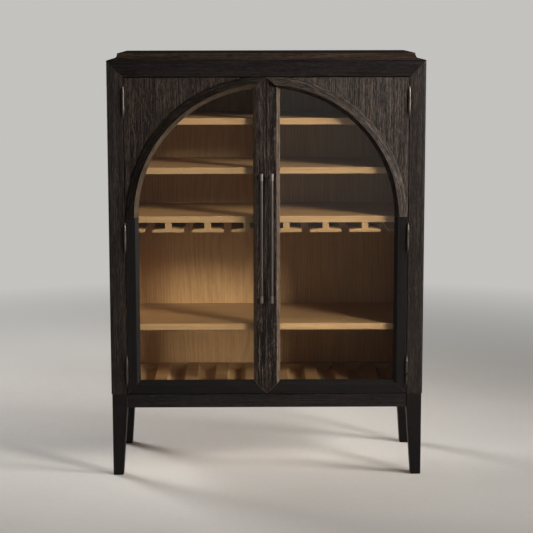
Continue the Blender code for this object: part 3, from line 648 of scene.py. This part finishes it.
def make_door_fixings(metal):
    """Behind each door: the screws that hold its handle, and the strike that its catch draws."""
    post_place, head, head_rise = 0.0135, 0.0045, 0.0022
    strike_drop, strike_height, inset, thick, chamfer = 0.0015, 0.0105, 0.003, 0.0004, 0.002
    seat, small_head, small_rise = 0.007, 0.0026, 0.00012
    for side in SIDES:
        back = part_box(f"{side}_meeting_stile")[1].y
        low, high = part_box(f"{side}_handle")
        bm = bmesh.new()
        for z in (low.z + post_place, high.z - post_place):
            screw(bm, facing(((low.x + high.x) / 2, back, z), (0, 1, 0)), head, head_rise)
        new_piece(f"{side}_handle_screws", bm, metal, f"{side}_door")
        low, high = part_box(f"catch_{side}")
        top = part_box(f"{side}_meeting_stile")[1].z - strike_drop
        bottom = top - strike_height
        left, right = low.x + inset, high.x - inset
        outline = [(left + chamfer, bottom), (right - chamfer, bottom)]
        outline += [(right, bottom + chamfer), (right, top - chamfer)]
        outline += [(right - chamfer, top), (left + chamfer, top)]
        outline += [(left, top - chamfer), (left, bottom + chamfer)]
        bm = bmesh.new()
        sweep(bm, outline, back, back + thick, lambda p, y: (p[0], y, p[1]))
        for x in (left + seat, right - seat):
            screw(bm, facing((x, back + thick, (bottom + top) / 2), (0, 1, 0)), small_head, small_rise)
        new_piece(f"{side}_strike", bm, metal, f"{side}_door")


def make_back_screws(metal):
    """Screws round the back panel, in its rebate."""
    low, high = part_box("back_panel")
    inset, across, upward = 0.012, 5, 6
    head, rise = 0.0040, 0.0018
    bm = bmesh.new()
    xs = [low.x + inset + (high.x - low.x - 2 * inset) * i / across for i in range(across + 1)]
    zs = [low.z + inset + (high.z - low.z - 2 * inset) * i / upward for i in range(upward + 1)]
    places = [(x, z) for x in xs for z in (zs[0], zs[-1])]
    places += [(x, z) for x in (xs[0], xs[-1]) for z in zs[1:-1]]
    for x, z in places:
        screw(bm, facing((x, high.y, z), (0, 1, 0)), head, rise)
    new_piece("back_panel_screws", bm, metal, "case")


def make_catch_poles(metal):
    """The two steel poles in the face of each catch, and the screws that fix its body."""
    section = [(0.0, 0.0002), (0.0004, -0.0003), (0.0014, -0.0003), (0.0018, 0.0002)]
    pole_inset, pole_margin, pole_height = 0.008, 0.003, 0.0018
    screw_inset, head, rise = 0.005, 0.0024, 0.0010
    for side in SIDES:
        low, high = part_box(f"catch_{side}")
        bm = bmesh.new()
        for z in (low.z + pole_margin, high.z - pole_margin - pole_height):
            start, end = low.x + pole_inset, high.x - pole_inset
            sweep(bm, section, start, end, lambda p, x: (x, low.y + p[1], z + p[0]))
        for x in (low.x + screw_inset, high.x - screw_inset):
            screw(bm, facing((x, (low.y + high.y) / 2, low.z), (0, 0, -1)), head, rise)
        new_piece(f"catch_{side}_poles", bm, metal, "case")


def make_fixings():
    """The screws, the strikes and the poles of the catches, all in one steel."""
    metal = gunmetal("screw_steel", colour(96, 92, 88), colour(140, 135, 128), 0.30)
    make_hinge_screws(metal)
    make_door_fixings(metal)
    make_back_screws(metal)
    make_catch_poles(metal)


# Stage, light and camera


# The surround as it is seen and as it gives light, and the lamps on the right
PALE = (0.55, 0.54, 0.52, 1.0)
DIM = (0.06, 0.06, 0.061, 1.0)
WARM = (1.0, 0.965, 0.92)

# The floor's radius and sides, and between which distances from the origin it fades into the surround
FLOOR_RADIUS = 30.0
FLOOR_SIDES = 96
FLOOR_FADE = (1.6, 4.4)


def seen_rays(tree):
    """1 for the rays that show the stage: the camera's, and those that metal and glass send on."""
    path = tree.nodes.new("ShaderNodeLightPath")
    seen = path.outputs["Is Camera Ray"]
    for ray in ("Is Glossy Ray", "Is Transmission Ray"):
        either = tree.nodes.new("ShaderNodeMath")
        either.operation = "MAXIMUM"
        tree.links.new(seen, either.inputs[0])
        tree.links.new(path.outputs[ray], either.inputs[1])
        seen = either.outputs[0]
    return seen


def floor_material():
    """A pale matt studio floor with a faint cloudiness, which fades into the surround far away."""
    finish = Finish("studio_floor")
    place = finish.place()
    cloud = finish.noise(place, 0.9, detail=4.0, roughness=0.55)
    speck = finish.noise(place, 45.0, detail=3.0, roughness=0.6)
    tone = finish.blend((cloud, 0.7), (speck, 0.3))
    clouded = finish.remap(tone, 0.3, 0.7)
    finish.surface(
        Base_Color=finish.mix(clouded, colour(206, 203, 198), colour(218, 215, 211)),
        Roughness=0.85,
        Specular_IOR_Level=0.2,
    )
    reach = finish.node("ShaderNodeVectorMath", {0: place}, operation="LENGTH").outputs["Value"]
    fade = finish.math("MULTIPLY", finish.remap(reach, *FLOOR_FADE), seen_rays(finish.tree))
    surround = finish.node("ShaderNodeEmission", {"Color": PALE})
    inputs = {0: fade, 1: finish.shader.outputs[0], 2: surround.outputs[0]}
    shown = finish.node("ShaderNodeMixShader", inputs)
    finish.feed(finish.output.inputs["Surface"], shown.outputs[0])
    finish.material.cycles.emission_sampling = "NONE"
    return finish.material


def make_stage():
    """A wide round floor."""
    bm = bmesh.new()
    bmesh.ops.create_circle(bm, cap_ends=True, segments=FLOOR_SIDES, radius=FLOOR_RADIUS)
    mesh = bpy.data.meshes.new("studio_floor")
    bm.to_mesh(mesh)
    bm.free()
    floor = bpy.data.objects.new("studio_floor", mesh)
    bpy.context.scene.collection.objects.link(floor)
    mesh.materials.append(floor_material())


def area_light(name, place, target, size, power, tint, spread=180):
    """A soft lamp, wide and high as its size says, turned towards a point. Its spread is in degrees."""
    light = bpy.data.lights.new(name, "AREA")
    light.shape = "RECTANGLE"
    light.size, light.size_y = size
    light.energy = power
    light.color = tint
    light.spread = math.radians(spread)
    lamp = bpy.data.objects.new(name, light)
    lamp.visible_camera = False
    lamp.location = place
    lamp.rotation_euler = (Vector(target) - Vector(place)).to_track_quat("-Z", "Y").to_euler()
    bpy.context.scene.collection.objects.link(lamp)


def make_light():
    """A key, a low and a side lamp on the right, a weak fill, one behind and a card for the panes."""
    key = (3.55, -3.20, 2.80)
    low = (3.40, -3.40, 0.80)
    side = (3.80, -1.25, 1.80)
    fill = (-3.2, -3.8, 2.2)
    back = (-3.8, 3.1, 2.4)
    card = (0.68, -6.70, 0.80)
    area_light("key", key, (0.05, 0, 1.25), (1.2, 1.2), 17.5, WARM, spread=40)
    area_light("low_key", low, (0, 0, 0.30), (0.8, 0.5), 1.2, WARM, spread=14)
    area_light("side", side, (0, 0, 0.95), (1.0, 1.6), 42.0, WARM, spread=90)
    area_light("fill", fill, (0, 0, 0.85), (2.2, 2.2), 2.0, (0.95, 0.97, 1.0))
    area_light("back", back, (0, 0, 0.85), (1.8, 1.8), 62.0, (1.0, 0.985, 0.97), spread=90)
    area_light("card", card, (0.20, 0, 0.90), (1.25, 1.40), 5.2, (0.98, 1.0, 0.96))
    make_world()
    bpy.context.scene.view_settings.view_transform = "Standard"


def make_world():
    """A dim surround for the light, which looks pale to the camera and in glass and metal."""
    world = bpy.data.worlds.new("studio")
    world.use_nodes = True
    tree = world.node_tree
    dim = tree.nodes["Background"]
    dim.inputs["Color"].default_value = DIM
    pale = tree.nodes.new("ShaderNodeBackground")
    pale.inputs["Color"].default_value = PALE
    shown = tree.nodes.new("ShaderNodeMixShader")
    values = (seen_rays(tree), dim.outputs[0], pale.outputs[0])
    for socket, value in zip(shown.inputs, values):
        tree.links.new(value, socket)
    tree.links.new(shown.outputs[0], tree.nodes["World Output"].inputs["Surface"])
    bpy.context.scene.world = world


def make_camera():
    """The photograph's camera, as far in front of the case as its distance says."""
    data = bpy.data.cameras.new("photo_camera")
    data.sensor_width = CAMERA_SENSOR
    data.lens = CAMERA_LENS
    data.shift_y = CAMERA_SHIFT
    camera = bpy.data.objects.new("photo_camera", data)
    bpy.context.scene.collection.objects.link(camera)
    place = (CAMERA_ASIDE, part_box("side_left")[0].y - CAMERA_DISTANCE, CAMERA_HEIGHT)
    camera.matrix_world = (
        Matrix.Translation(place)
        @ Matrix.Rotation(-CAMERA_TURN, 4, "Z")
        @ Matrix.Rotation(math.radians(90) - CAMERA_PITCH, 4, "X")
        @ Matrix.Rotation(-CAMERA_ROLL, 4, "Z")
    )
    bpy.context.scene.camera = camera


dress_wood()
dress_fittings()
round_curves()
make_seals()
make_fixings()
make_stage()
make_light()
make_camera()
